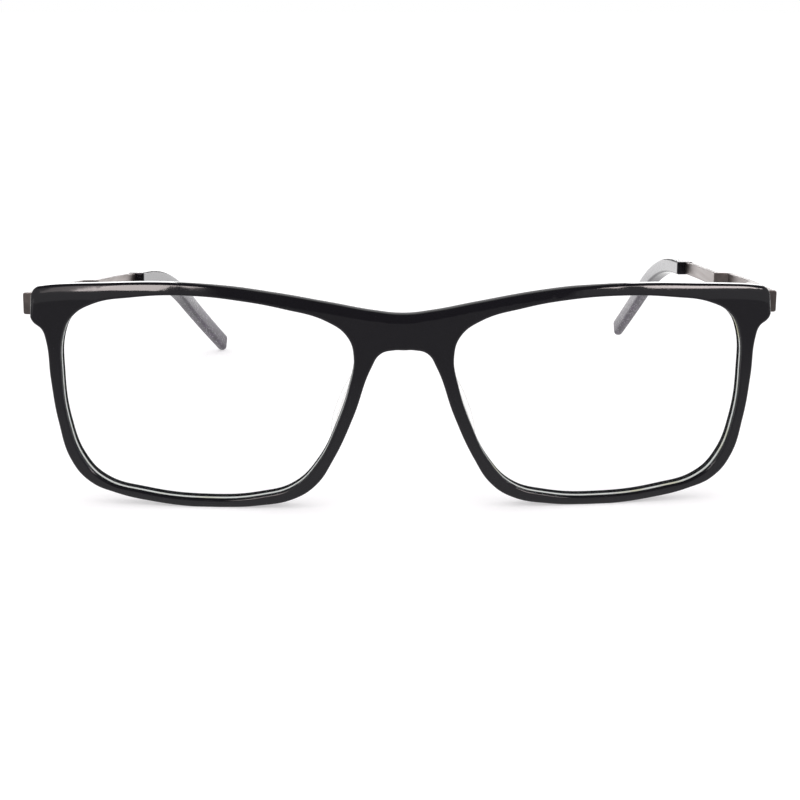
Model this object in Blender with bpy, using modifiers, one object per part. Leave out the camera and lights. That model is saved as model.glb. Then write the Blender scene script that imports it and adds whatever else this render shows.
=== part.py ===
"""An eyeglasses frame standing open on a table.

A one-piece acetate front holds two clear lenses, two nose pads and two hinges. Each hinge turns a metal
temple arm, which steps inwards and ends in an acetate tip behind the ear.

Metres, +Z up. X runs across the front, Y runs back along the temples, and the table is Z = 0. Shapes are
worked out with the middle of the bridge's front face at Y = 0, and are then centred on the origin.
"""

import math
from typing import NamedTuple

import bmesh
import bpy
from mathutils import Matrix, Vector

MM = 0.001


class Temple(NamedTuple):
    """What differs between the two temples of this frame, whose arms have been bent by hand."""

    label: str
    side: int
    slope: float
    tip_inward: float
    turned_in: float


# The left temple hangs lower, so that its tip rests on the table, and stands a little closed
TEMPLES = (
    Temple("left", side=-1, slope=0.0708, tip_inward=3.4 * MM, turned_in=math.radians(8.3)),
    Temple("right", side=1, slope=0.0376, tip_inward=2.3 * MM, turned_in=math.radians(0.4)),
)

# Acetate front. An outline point is (x, z) in millimetres, and a point marked FLAT is joined to a FLAT
# neighbour by a straight line. The front's half outline runs from the bridge's top round to its underside.
FLAT = True
FRONT_HALF_OUTLINE = (
    (0.0, 37.05),
    (5.5, 37.6),
    (13.4, 39.05),
    (25.0, 41.0),
    (34.0, 41.9),
    (43.5, 42.25),
    (54.0, 41.95),
    (66.6, 41.15),
    (68.05, 40.75),
    (68.85, 39.6, FLAT),
    (69.15, 35.9, FLAT),
    (68.7, 34.9),
    (67.1, 33.5),
    (66.45, 31.6),
    (65.9, 24.0),
    (64.85, 15.8),
    (62.75, 8.3),
    (59.45, 4.35),
    (54.6, 2.3),
    (47.0, 0.75),
    (39.6, 0.0, FLAT),
    (34.6, 0.0, FLAT),
    (27.5, 0.4),
    (20.6, 1.85),
    (16.45, 4.6),
    (13.2, 9.5),
    (9.3, 18.0),
    (6.0, 27.2),
    (4.3, 29.8),
    (1.8, 30.5),
    (0.0, 30.5),
)
RIM_OPENING = (
    (39.5, 40.1),
    (50.0, 39.6),
    (57.3, 38.35),
    (61.2, 36.1),
    (63.0, 32.8),
    (63.65, 25.0),
    (62.75, 15.5),
    (60.3, 8.6),
    (56.6, 4.8),
    (49.0, 2.65),
    (37.0, 1.55),
    (27.0, 2.3),
    (20.6, 4.3),
    (16.0, 9.1),
    (12.6, 16.0),
    (10.1, 23.6),
    (9.25, 29.2),
    (10.4, 33.0),
    (14.0, 35.8),
    (22.0, 38.15),
    (30.0, 39.5),
)
OUTLINE_RESOLUTION = 3
FRONT_THICKNESS = 4.0 * MM
FRONT_BEND_RADIUS = 380.0 * MM
FRONT_BEVEL = 0.45 * MM
BEND_STEP = 8.0 * MM

# Lenses, held by a groove that runs round each opening
GROOVE_DEPTH = 0.55 * MM
GROOVE_WIDTH = 1.0 * MM
GROOVE_SETBACK = 1.35 * MM
LENS_THICKNESS = 0.8 * MM
LENS_EDGE_GAP = 0.12 * MM
LENS_BEVEL = 0.2 * MM

# Nose pads, bonded behind the nasal sides of the rims
PAD_CENTRE = Vector((10.3, 0.0, 19.3)) * MM
PAD_HALF_SIZE = Vector((1.2, 5.2, 7.6)) * MM
PAD_LEAN = math.radians(22.0)
PAD_FLARE = 0.3
PAD_GAP = 0.2 * MM

# Hinge pivots, on upright axes behind the lugs
PIVOT = Vector((66.2, 12.0, 37.35)) * MM
KNUCKLE_RADIUS = 1.25 * MM
KNUCKLE_HEIGHT = 1.3 * MM
WASHER_THICKNESS = 0.25 * MM
WASHER_RADIUS = 1.2 * MM
STACK_GAP = 0.05 * MM
BORE_RADIUS = 0.68 * MM
SCREW_RADIUS = 0.6 * MM
SCREW_HEAD_RADIUS = 1.15 * MM
SCREW_HEAD_HEIGHT = 0.6 * MM
SCREW_CHAMFER = 0.12 * MM
SLOT_WIDTH = 0.35 * MM
SLOT_DEPTH = 0.3 * MM
ROUND_SEGMENTS = 24

# Hinge leaves. X and Y are measured from the pivot, X outwards and Y backwards.
FRONT_PLATE_X = (-2.6 * MM, 1.1 * MM)
FRONT_PLATE_Y = (-3.4 * MM, -2.2 * MM)
FRONT_WEB_X = (-1.1 * MM, 0.9 * MM)
POCKET_GAP = 0.15 * MM
TEMPLE_PLATE_X = (0.5 * MM, 1.25 * MM)
TEMPLE_PLATE_Y = (1.5 * MM, 8.2 * MM)
TEMPLE_PLATE_HALF_HEIGHT = 1.7 * MM
TEMPLE_NECK_Y = (0.0, 2.0 * MM)
TEMPLE_NECK_HALF_HEIGHT = 0.62 * MM

# Temple centreline, by the distance along it from the pivot: a gentle bow, a bend, and a straight end
ARM_BOW = 0.48
BEND_START = 66.0 * MM
BEND_RADIUS = 82.5 * MM
TIP_ANGLE = math.radians(31.0)

# Metal arm: a thick end at the hinge, a thin blade with a step inwards, and a core inside the tip.
# The step begins on the inner face, and on the outer face as much later as the blade's thickness needs
ARM_FRONT = -1.4 * MM
ARM_END_BLOCK = 9.0 * MM
ARM_BLADE_START = 15.0 * MM
ARM_BLADE_END = 58.6 * MM
ARM_INNER_AT_HINGE = 1.4 * MM
ARM_INNER = 3.8 * MM
ARM_OUTER = 5.0 * MM
ARM_HEIGHT_FRONT = 4.1 * MM
ARM_HEIGHT_STEP = 2.8 * MM
ARM_HEIGHT_BACK = 2.65 * MM
ARM_CHAMFER = 0.35 * MM
STEP_START = 30.85 * MM
STEP_LENGTH = 1.2 * MM
STEP_LAG = 0.9 * MM
STEP_INWARD = 2.7 * MM
STEP_SECTIONS = 14
CORE_END = 112.0 * MM
CORE_THICKNESS = 0.8 * MM
CORE_HEIGHT = 1.6 * MM
CORE_GAP = 0.1 * MM
CORE_SHIFT_LENGTH = 15.0 * MM

# Tip: a sleeve on the core, thick where it begins and taller where it ends
TIP_START = 58.8 * MM
TIP_MIDDLE = 1.0 * MM
TIP_THICKNESS_START = 3.6 * MM
TIP_THICKNESS_END = 2.3 * MM
TIP_HEIGHT_START = 2.9 * MM
TIP_HEIGHT_END = 4.5 * MM
TIP_CHAMFER = 0.5 * MM
TIP_CORNER_RADIUS = 0.9 * MM
TIP_END_TAPER = 0.35 * MM
PATH_STEP = 5.0 * MM


def clear_scene():
    for obj in list(bpy.data.objects):
        bpy.data.objects.remove(obj, do_unlink=True)


def new_collection(name):
    collection = bpy.data.collections.new(name)
    bpy.context.scene.collection.children.link(collection)
    return collection


def new_material(name, color, roughness, metallic=0.0, alpha=1.0):
    material = bpy.data.materials.new(name)
    material.use_nodes = True
    shader = material.node_tree.nodes["Principled BSDF"]
    shader.inputs["Base Color"].default_value = (*color, 1.0)
    shader.inputs["Roughness"].default_value = roughness
    shader.inputs["Metallic"].default_value = metallic
    shader.inputs["Alpha"].default_value = alpha
    return material


clear_scene()
PARTS = new_collection("eyeglasses_frame")
CUTTERS = new_collection("cutters")
BLACK_ACETATE = new_material("black_acetate", (0.012, 0.012, 0.014), 0.18)
CLEAR_LENS = new_material("clear_lens", (0.95, 0.97, 0.97), 0.03, alpha=0.25)
HINGE_METAL = new_material("hinge_metal", (0.45, 0.43, 0.42), 0.35, metallic=1.0)
WASHER_NYLON = new_material("washer_nylon", (0.75, 0.73, 0.68), 0.5)
ARM_METAL = new_material("arm_metal", (0.52, 0.48, 0.48), 0.3, metallic=1.0)
CLEAR_ACETATE = new_material("clear_acetate", (0.9, 0.9, 0.88), 0.08, alpha=0.35)


def new_empty(name, location, parent=None):
    empty = bpy.data.objects.new(name, None)
    empty.empty_display_size = 5 * MM
    empty.location = location
    empty.parent = parent
    PARTS.objects.link(empty)
    return empty


def new_part(name, mesh, material, parent):
    part = bpy.data.objects.new(name, mesh)
    mesh.materials.append(material)
    part.parent = parent
    PARTS.objects.link(part)
    return part


def new_cutter(name, mesh, parent):
    cutter = bpy.data.objects.new(name, mesh)
    cutter.parent = parent
    cutter.hide_render = True
    cutter.display_type = "WIRE"
    CUTTERS.objects.link(cutter)
    return cutter


def boolean(part, other, operation):
    modifier = part.modifiers.new(f"{operation.lower()}_{other.name}", "BOOLEAN")
    modifier.operation = operation
    modifier.solver = "EXACT"
    modifier.object = other


def mesh_from(bm, name, smooth_angle=None):
    bm.normal_update()
    bmesh.ops.recalc_face_normals(bm, faces=bm.faces)
    mesh = bpy.data.meshes.new(name)
    bm.to_mesh(mesh)
    bm.free()
    if smooth_angle:
        mesh.shade_smooth()
        mesh.set_sharp_from_angle(angle=math.radians(smooth_angle))
    return mesh


def box_mesh(name, x_range, y_range, z_range):
    bm = bmesh.new()
    bmesh.ops.create_cube(bm, size=1.0)
    spans = (x_range, y_range, z_range)
    size = Matrix.Diagonal([high - low for low, high in spans] + [1.0])
    middle = Matrix.Translation([(low + high) / 2 for low, high in spans])
    bm.transform(middle @ size)
    return mesh_from(bm, name)


def cylinder_mesh(name, radius, z_range):
    bm = bmesh.new()
    bmesh.ops.create_cone(
        bm,
        cap_ends=True,
        segments=ROUND_SEGMENTS,
        radius1=radius,
        radius2=radius,
        depth=z_range[1] - z_range[0],
        matrix=Matrix.Translation((0, 0, sum(z_range) / 2)),
    )
    return mesh_from(bm, name, smooth_angle=40)


def turned(part):
    """Turns the part's profile round its Z axis."""
    screw = part.modifiers.new("turned", "SCREW")
    screw.steps = ROUND_SEGMENTS
    screw.render_steps = ROUND_SEGMENTS
    screw.use_merge_vertices = True
    screw.merge_threshold = 1e-6


def profile_mesh(name, points, closed):
    bm = bmesh.new()
    verts = [bm.verts.new((radius, 0, z)) for radius, z in points]
    for first, second in zip(verts, verts[1:]):
        bm.edges.new((first, second))
    if closed:
        bm.edges.new((verts[-1], verts[0]))
    mesh = bpy.data.meshes.new(name)
    bm.to_mesh(mesh)
    bm.free()
    return mesh


# Front and lenses


def mirrored(half_outline):
    """The closed outline whose right half is given, from one point on the middle line to another."""
    left = [(-point[0], *point[1:]) for point in reversed(half_outline) if point[0] > 0]
    return list(half_outline) + left


def opening(side):
    """The rim's opening on one side."""
    return [(side * x, z) for x, z in RIM_OPENING]


def add_outline(curve, outline):
    spline = curve.splines.new("BEZIER")
    spline.bezier_points.add(len(outline) - 1)
    spline.use_cyclic_u = True
    flat = [len(point) > 2 for point in outline]
    for index, (knot, point) in enumerate(zip(spline.bezier_points, outline)):
        knot.co = (point[0] * MM, point[1] * MM, 0)
        after = (index + 1) % len(outline)
        knot.handle_left_type = "VECTOR" if flat[index] and flat[index - 1] else "AUTO"
        knot.handle_right_type = "VECTOR" if flat[index] and flat[after] else "AUTO"


def bend_depth(x):
    """How far back the front's bend carries a point."""
    return x * x / (2 * FRONT_BEND_RADIUS)


def bent_plate_mesh(name, outlines, y_range, bevel, grow=0.0):
    """A plate with the outlines, stood upright and bent as the front is. grow moves its edge outwards."""
    thickness = y_range[1] - y_range[0]
    curve = bpy.data.curves.new(name, "CURVE")
    curve.dimensions = "2D"
    curve.fill_mode = "BOTH"
    curve.resolution_u = OUTLINE_RESOLUTION
    curve.bevel_resolution = 0
    curve.bevel_depth = bevel
    curve.extrude = thickness / 2 - bevel
    curve.offset = grow - bevel
    for outline in outlines:
        add_outline(curve, outline)
    flat = bpy.data.objects.new(name, curve)
    CUTTERS.objects.link(flat)
    graph = bpy.context.evaluated_depsgraph_get()
    bm = bmesh.new()
    bm.from_mesh(bpy.data.meshes.new_from_object(flat.evaluated_get(graph)))
    bpy.data.objects.remove(flat, do_unlink=True)
    bmesh.ops.remove_doubles(bm, verts=bm.verts, dist=1e-6)
    bmesh.ops.dissolve_limit(bm, angle_limit=math.radians(0.1), verts=bm.verts, edges=bm.edges)
    reach = max(abs(vert.co.x) for vert in bm.verts)
    steps = math.ceil(reach / BEND_STEP)
    for step in range(-steps, steps + 1):
        everything = bm.verts[:] + bm.edges[:] + bm.faces[:]
        bmesh.ops.bisect_plane(
            bm, geom=everything, dist=1e-6, plane_co=(step * BEND_STEP, 0, 0), plane_no=(1, 0, 0)
        )
    middle = sum(y_range) / 2
    for vert in bm.verts:
        x, y, z = vert.co
        vert.co = (x, middle - z + bend_depth(x), y)
    return mesh_from(bm, name, smooth_angle=30)


def add_front(root):
    outlines = [mirrored(FRONT_HALF_OUTLINE)] + [opening(temple.side) for temple in TEMPLES]
    mesh = bent_plate_mesh("front_frame", outlines, (0, FRONT_THICKNESS), FRONT_BEVEL)
    front = new_part("front_frame", mesh, BLACK_ACETATE, root)
    groove = (GROOVE_SETBACK - GROOVE_WIDTH / 2, GROOVE_SETBACK + GROOVE_WIDTH / 2)
    for temple in TEMPLES:
        name = f"{temple.label}_lens_groove"
        groove_mesh = bent_plate_mesh(name, [opening(temple.side)], groove, 0, grow=GROOVE_DEPTH)
        boolean(front, new_cutter(name, groove_mesh, root), "DIFFERENCE")
        boolean(front, hinge_pocket(temple.label, temple.side, root), "DIFFERENCE")


def hinge_pocket(label, side, root):
    """The recess in the back of a lug that takes the hinge's plate."""
    stack = hinge_stack()["upper"][1]
    mesh = sided_box_mesh(
        f"{label}_hinge_pocket",
        side,
        (FRONT_PLATE_X[0] - POCKET_GAP, FRONT_PLATE_X[1] + POCKET_GAP),
        (FRONT_PLATE_Y[0] - POCKET_GAP, 0),
        (-stack - POCKET_GAP, stack + POCKET_GAP),
    )
    cutter = new_cutter(f"{label}_hinge_pocket", mesh, root)
    cutter.location = pivot_of(side)
    return cutter


def add_lens(label, side, root):
    depth = (GROOVE_SETBACK - LENS_THICKNESS / 2, GROOVE_SETBACK + LENS_THICKNESS / 2)
    grow = GROOVE_DEPTH - LENS_EDGE_GAP
    mesh = bent_plate_mesh(f"{label}_lens", [opening(side)], depth, LENS_BEVEL, grow=grow)
    new_part(f"{label}_lens", mesh, CLEAR_LENS, root)


def add_nose_pad(label, side, root):
    back_face = bend_depth(PAD_CENTRE.x) + FRONT_THICKNESS + PAD_GAP
    bm = bmesh.new()
    bmesh.ops.create_uvsphere(bm, u_segments=20, v_segments=12, radius=1.0)
    bm.transform(Matrix.Diagonal((*PAD_HALF_SIZE, 1.0)))
    bm.transform(Matrix.Rotation(-PAD_LEAN, 4, "Y"))
    everything = bm.verts[:] + bm.edges[:] + bm.faces[:]
    cut = bmesh.ops.bisect_plane(
        bm, geom=everything, dist=1e-6, plane_co=(0, 0, 0), plane_no=(0, 1, 0), clear_inner=True
    )
    rim = [item for item in cut["geom_cut"] if isinstance(item, bmesh.types.BMEdge)]
    bmesh.ops.contextual_create(bm, geom=rim)
    for vert in bm.verts:
        vert.co.x = side * (vert.co.x + PAD_CENTRE.x + PAD_FLARE * vert.co.y)
        vert.co.y += back_face
        vert.co.z += PAD_CENTRE.z
    mesh = mesh_from(bm, f"{label}_nose_pad", smooth_angle=50)
    new_part(f"{label}_nose_pad", mesh, CLEAR_ACETATE, root)


# Hinges


def pivot_of(side):
    return Vector((side * PIVOT.x, PIVOT.y, PIVOT.z))


def hinge_stack():
    """Height ranges of the pieces on a pivot, about the middle of the temple's knuckle."""
    heights = {
        "middle": KNUCKLE_HEIGHT / 2,
        "washer": WASHER_THICKNESS,
        "upper": KNUCKLE_HEIGHT,
        "head": SCREW_HEAD_HEIGHT,
    }
    stack = {"middle": (-heights["middle"], heights["middle"])}
    level = heights["middle"]
    for piece in ("washer", "upper", "head"):
        bottom = level + STACK_GAP
        level = bottom + heights[piece]
        stack[piece] = (bottom, level)
    return stack


def below(z_range):
    """The same height range on the other side of the temple's knuckle."""
    return (-z_range[1], -z_range[0])


def sided_box_mesh(name, side, x_range, y_range, z_range):
    return box_mesh(name, sorted(side * x for x in x_range), y_range, z_range)


def join(part, name, mesh, parent, location):
    helper = new_cutter(name, mesh, parent)
    helper.location = location
    boolean(part, helper, "UNION")


def drill_pivot(part, name, parent, location):
    reach = hinge_stack()["head"][1]
    drill = new_cutter(f"{name}_bore", cylinder_mesh(f"{name}_bore", BORE_RADIUS, (-reach, reach)), parent)
    drill.location = location
    boolean(part, drill, "DIFFERENCE")


def add_front_hinge(label, side, root):
    """A plate in the lug's pocket, with a web and a knuckle above and below the temple's knuckle."""
    name = f"{label}_front_hinge"
    upper = hinge_stack()["upper"]
    plate = sided_box_mesh(name, side, FRONT_PLATE_X, FRONT_PLATE_Y, (-upper[1], upper[1]))
    leaf = new_part(name, plate, HINGE_METAL, root)
    leaf.location = pivot_of(side)
    web_y = (sum(FRONT_PLATE_Y) / 2, 0)
    for level, z_range in (("upper", upper), ("lower", below(upper))):
        web = sided_box_mesh(f"{name}_{level}_web", side, FRONT_WEB_X, web_y, z_range)
        join(leaf, f"{name}_{level}_web", web, root, leaf.location)
        knuckle = cylinder_mesh(f"{name}_{level}_knuckle", KNUCKLE_RADIUS, z_range)
        join(leaf, f"{name}_{level}_knuckle", knuckle, root, leaf.location)
    drill_pivot(leaf, name, root, leaf.location)


def add_hinge_screw(label, side, root):
    stack = hinge_stack()
    bottom = -stack["upper"][1]
    shoulder, top = stack["head"]
    profile = (
        (0, top),
        (SCREW_HEAD_RADIUS - SCREW_CHAMFER, top),
        (SCREW_HEAD_RADIUS, top - SCREW_CHAMFER),
        (SCREW_HEAD_RADIUS, shoulder),
        (SCREW_RADIUS, shoulder),
        (SCREW_RADIUS, bottom + SCREW_CHAMFER),
        (SCREW_RADIUS - SCREW_CHAMFER, bottom),
        (0, bottom),
    )
    name = f"{label}_hinge_screw"
    screw = new_part(name, profile_mesh(name, profile, closed=False), HINGE_METAL, root)
    screw.location = pivot_of(side)
    turned(screw)
    reach = 2 * SCREW_HEAD_RADIUS
    slot_x = (-SLOT_WIDTH / 2, SLOT_WIDTH / 2)
    slot = new_cutter(
        f"{name}_slot",
        box_mesh(f"{name}_slot", slot_x, (-reach, reach), (top - SLOT_DEPTH, top + SLOT_DEPTH)),
        root,
    )
    slot.location = screw.location
    boolean(screw, slot, "DIFFERENCE")


def add_hinge_washers(label, side, root):
    washer = hinge_stack()["washer"]
    for level, (bottom, top) in (("upper", washer), ("lower", below(washer))):
        profile = ((WASHER_RADIUS, top), (WASHER_RADIUS, bottom), (BORE_RADIUS, bottom), (BORE_RADIUS, top))
        name = f"{label}_hinge_washer_{level}"
        part = new_part(name, profile_mesh(name, profile, closed=True), WASHER_NYLON, root)
        part.location = pivot_of(side)
        turned(part)


def add_temple_hinge(label, side, axis):
    """A plate on the arm's inner face, with one knuckle on the pivot."""
    name = f"{label}_temple_hinge"
    tall = (-TEMPLE_PLATE_HALF_HEIGHT, TEMPLE_PLATE_HALF_HEIGHT)
    low = (-TEMPLE_NECK_HALF_HEIGHT, TEMPLE_NECK_HALF_HEIGHT)
    origin = Vector((0, 0, 0))
    plate = sided_box_mesh(name, side, TEMPLE_PLATE_X, TEMPLE_PLATE_Y, tall)
    leaf = new_part(name, plate, HINGE_METAL, axis)
    neck = sided_box_mesh(f"{name}_neck", side, (0, TEMPLE_PLATE_X[1]), TEMPLE_NECK_Y, low)
    join(leaf, f"{name}_neck", neck, axis, origin)
    knuckle = cylinder_mesh(f"{name}_knuckle", KNUCKLE_RADIUS, hinge_stack()["middle"])
    join(leaf, f"{name}_knuckle", knuckle, axis, origin)
    drill_pivot(leaf, name, axis, origin)


# Temples, in their own frame: the pivot is the origin, X points outwards and Y runs back


def bow(temple, distance):
    """Height and downward angle of the bowed front stretch of a temple."""
    drop = temple.slope * distance + ARM_BOW * distance * distance
    return -drop, math.atan(temple.slope + 2 * ARM_BOW * distance)


def bend_end(temple):
    """Distance along the temple where its bend ends."""
    return BEND_START + BEND_RADIUS * (TIP_ANGLE - bow(temple, BEND_START)[1])


def centreline(temple, distance):
    """(y, z, downward angle) of the temple's centreline at a distance along it."""
    if distance <= BEND_START:
        return (distance, *bow(temple, distance))
    z, angle = bow(temple, BEND_START)
    turned_to = angle + (min(distance, bend_end(temple)) - BEND_START) / BEND_RADIUS
    y = BEND_START + BEND_RADIUS * (math.sin(turned_to) - math.sin(angle))
    z -= BEND_RADIUS * (math.cos(angle) - math.cos(turned_to))
    straight = max(distance - bend_end(temple), 0)
    return y + straight * math.cos(turned_to), z - straight * math.sin(turned_to), turned_to


def tip_end():
    """Length of a temple from its pivot. The lower temple's end corner rests on the table."""
    lower = max(TEMPLES, key=lambda temple: temple.slope)
    start = PIVOT.z + centreline(lower, bend_end(lower))[1]
    rest = TIP_HEIGHT_END / 2 * math.cos(TIP_ANGLE) + TIP_CORNER_RADIUS * (1 - math.cos(TIP_ANGLE))
    return bend_end(lower) + TIP_CORNER_RADIUS + (start - rest) / math.sin(TIP_ANGLE)


def inward(temple, distance):
    """How far the temple has curved inwards, towards the head."""
    share = max(distance - TIP_START, 0) / (tip_end() - TIP_START)
    return temple.tip_inward * share * share


def section(temple, distance, inner, outer, height, chamfer):
    """One cross-section of a temple piece, a rectangle with cut corners."""
    y, z, angle = centreline(temple, distance)
    cut = min(chamfer, 0.45 * (outer - inner), 0.45 * height)
    half = height / 2
    corners = (
        (inner, -half + cut),
        (inner + cut, -half),
        (outer - cut, -half),
        (outer, -half + cut),
        (outer, half - cut),
        (outer - cut, half),
        (inner + cut, half),
        (inner, half - cut),
    )
    shift = inward(temple, distance)
    return [
        Vector((temple.side * (x - shift), y + rise * math.sin(angle), z + rise * math.cos(angle)))
        for x, rise in corners
    ]


def loft_mesh(name, temple, stations, chamfer):
    """A solid through the sections at the stations (distance, inner, outer, height)."""
    bm = bmesh.new()
    rings = []
    for station in stations:
        rings.append([bm.verts.new(point) for point in section(temple, *station, chamfer)])
    for ring, following in zip(rings, rings[1:]):
        for index in range(len(ring)):
            bm.faces.new((ring[index - 1], ring[index], following[index], following[index - 1]))
    bm.faces.new(rings[0])
    bm.faces.new(rings[-1])
    return mesh_from(bm, name, smooth_angle=35)


def steps_between(start, end):
    """Evenly spaced distances from start to end, about PATH_STEP apart."""
    count = max(1, round((end - start) / PATH_STEP))
    return [start + (end - start) * index / count for index in range(count + 1)]


def between(first, last, share):
    return first + (last - first) * share


def smooth_step(share):
    """Eases from 0 to 1 as the share does."""
    share = min(max(share, 0), 1)
    return share * share * (3 - 2 * share)


def arm_height(distance):
    if distance < STEP_START:
        share = (distance - ARM_FRONT) / (STEP_START - ARM_FRONT)
        return between(ARM_HEIGHT_FRONT, ARM_HEIGHT_STEP, share)
    share = (distance - STEP_START) / (ARM_BLADE_END - STEP_START)
    return between(ARM_HEIGHT_STEP, ARM_HEIGHT_BACK, share)


def stepped(distance, start):
    """How far a face of the blade, whose step begins at start, has moved inwards."""
    return STEP_INWARD * smooth_step((distance - start) / STEP_LENGTH)


def blade_station(distance):
    inner = ARM_INNER - stepped(distance, STEP_START)
    outer = ARM_OUTER - stepped(distance, STEP_START + STEP_LAG)
    return (distance, inner, outer, arm_height(distance))


def core_stations(start, end, grow):
    """The core leaves the middle of the blade for the middle of the tip."""
    blade_middle = (ARM_INNER + ARM_OUTER) / 2 - STEP_INWARD
    half = CORE_THICKNESS / 2 + grow
    stations = []
    for at in steps_between(start, end):
        middle = between(blade_middle, TIP_MIDDLE, smooth_step((at - TIP_START) / CORE_SHIFT_LENGTH))
        stations.append((at, middle - half, middle + half, CORE_HEIGHT + 2 * grow))
    return stations


def add_arm(temple, axis):
    stations = [
        (at, ARM_INNER_AT_HINGE, ARM_OUTER, arm_height(at)) for at in (ARM_FRONT, ARM_END_BLOCK)
    ]
    step_end = STEP_START + STEP_LAG + STEP_LENGTH
    distances = steps_between(ARM_BLADE_START, STEP_START)
    for index in range(1, STEP_SECTIONS):
        distances.append(between(STEP_START, step_end, index / STEP_SECTIONS))
    distances += steps_between(step_end, ARM_BLADE_END)
    stations += [blade_station(at) for at in distances]
    stations += core_stations(ARM_BLADE_END, CORE_END, 0)
    name = f"{temple.label}_temple_arm"
    new_part(name, loft_mesh(name, temple, stations, ARM_CHAMFER), ARM_METAL, axis)


def add_tip(temple, axis):
    """A sleeve on the arm's core, cut square at its end with rounded corners."""
    corner_start = tip_end() - TIP_CORNER_RADIUS
    stations = []
    for at in steps_between(TIP_START, corner_start):
        share = (at - TIP_START) / (corner_start - TIP_START)
        half = between(TIP_THICKNESS_START, TIP_THICKNESS_END, share) / 2
        height = between(TIP_HEIGHT_START, TIP_HEIGHT_END, share)
        stations.append((at, TIP_MIDDLE - half, TIP_MIDDLE + half, height))
    _, inner, outer, height = stations[-1]
    right_angle = math.radians(90)
    for angle in (TIP_ANGLE / 2, TIP_ANGLE, (TIP_ANGLE + right_angle) / 2, right_angle):
        at = corner_start + TIP_CORNER_RADIUS * math.sin(angle)
        rounded_off = 1 - math.cos(angle)
        taper = TIP_END_TAPER * rounded_off
        stations.append((at, inner + taper, outer - taper, height - 2 * TIP_CORNER_RADIUS * rounded_off))
    name = f"{temple.label}_temple_tip"
    tip = new_part(name, loft_mesh(name, temple, stations, TIP_CHAMFER), BLACK_ACETATE, axis)
    bore = core_stations(TIP_START - PATH_STEP, CORE_END + 2 * CORE_GAP, CORE_GAP)
    bore_mesh = loft_mesh(f"{name}_bore", temple, bore, ARM_CHAMFER)
    boolean(tip, new_cutter(f"{name}_bore", bore_mesh, axis), "DIFFERENCE")


def add_temple(temple, root):
    axis = new_empty(f"{temple.label}_hinge_axis", pivot_of(temple.side), root)
    axis.rotation_euler.z = temple.side * temple.turned_in
    add_temple_hinge(temple.label, temple.side, axis)
    add_arm(temple, axis)
    add_tip(temple, axis)


def centre_front_to_back(root):
    """Moves the whole frame along Y until its box is centred on the origin."""
    bpy.context.view_layer.update()
    graph = bpy.context.evaluated_depsgraph_get()
    depths = []
    for part in PARTS.objects:
        if part.type == "MESH":
            corners = part.evaluated_get(graph).bound_box
            depths += [(part.matrix_world @ Vector(corner)).y for corner in corners]
    root.location.y = -(min(depths) + max(depths)) / 2


def main():
    root = new_empty("frame_origin", (0, 0, 0))
    add_front(root)
    for temple in TEMPLES:
        label, side = temple.label, temple.side
        add_lens(label, side, root)
        add_nose_pad(label, side, root)
        add_front_hinge(label, side, root)
        add_hinge_screw(label, side, root)
        add_hinge_washers(label, side, root)
        add_temple(temple, root)
    centre_front_to_back(root)


main()
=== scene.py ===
"""Looks of an eyeglasses frame: finer meshes, finishes, a white floor, studio light and the camera.

Metres, +Z up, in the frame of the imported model. Sizes repeat those of the part's source. Shapes are worked
out with the front's face at depth 0, and world() moves them to their place.
"""

import math
from typing import NamedTuple

import bmesh
import bpy
import numpy as np
from mathutils import Matrix, Vector, geometry, kdtree

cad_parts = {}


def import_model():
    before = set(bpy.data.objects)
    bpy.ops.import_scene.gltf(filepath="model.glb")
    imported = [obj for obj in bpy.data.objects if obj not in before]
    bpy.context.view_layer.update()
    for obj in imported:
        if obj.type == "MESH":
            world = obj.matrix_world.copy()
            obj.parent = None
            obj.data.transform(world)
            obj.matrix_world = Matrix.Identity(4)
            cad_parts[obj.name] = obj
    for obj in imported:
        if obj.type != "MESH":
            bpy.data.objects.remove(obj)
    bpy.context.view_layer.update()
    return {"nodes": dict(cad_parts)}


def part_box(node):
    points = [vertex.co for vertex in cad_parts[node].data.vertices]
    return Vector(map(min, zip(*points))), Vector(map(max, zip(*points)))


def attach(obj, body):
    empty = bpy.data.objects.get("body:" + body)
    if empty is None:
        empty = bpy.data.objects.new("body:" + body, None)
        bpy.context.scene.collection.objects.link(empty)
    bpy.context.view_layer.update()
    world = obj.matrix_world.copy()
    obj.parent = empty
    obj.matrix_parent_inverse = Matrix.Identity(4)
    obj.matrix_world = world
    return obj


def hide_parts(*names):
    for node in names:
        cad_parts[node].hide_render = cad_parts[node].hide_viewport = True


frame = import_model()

FRONT_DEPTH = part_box("front_frame")[0].y
MM = 0.001


class Temple(NamedTuple):
    """What differs between the two temples."""

    label: str
    side: int
    slope: float
    tip_inward: float
    turned_in: float


TEMPLES = (
    Temple("left", side=-1, slope=0.0708, tip_inward=3.4 * MM, turned_in=math.radians(8.3)),
    Temple("right", side=1, slope=0.0376, tip_inward=2.3 * MM, turned_in=math.radians(0.4)),
)

# Acetate front, as (x, z) in millimetres. A point marked FLAT is joined to a FLAT neighbour by a line.
FLAT = True
FRONT_HALF_OUTLINE = (
    (0.0, 37.05),
    (5.5, 37.6),
    (13.4, 39.05),
    (25.0, 41.0),
    (34.0, 41.9),
    (43.5, 42.25),
    (54.0, 41.95),
    (66.6, 41.15),
    (68.05, 40.75),
    (68.85, 39.6, FLAT),
    (69.15, 35.9, FLAT),
    (68.7, 34.9),
    (67.1, 33.5),
    (66.45, 31.6),
    (65.9, 24.0),
    (64.85, 15.8),
    (62.75, 8.3),
    (59.45, 4.35),
    (54.6, 2.3),
    (47.0, 0.75),
    (39.6, 0.0, FLAT),
    (34.6, 0.0, FLAT),
    (27.5, 0.4),
    (20.6, 1.85),
    (16.45, 4.6),
    (13.2, 9.5),
    (9.3, 18.0),
    (6.0, 27.2),
    (4.3, 29.8),
    (1.8, 30.5),
    (0.0, 30.5),
)
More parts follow.
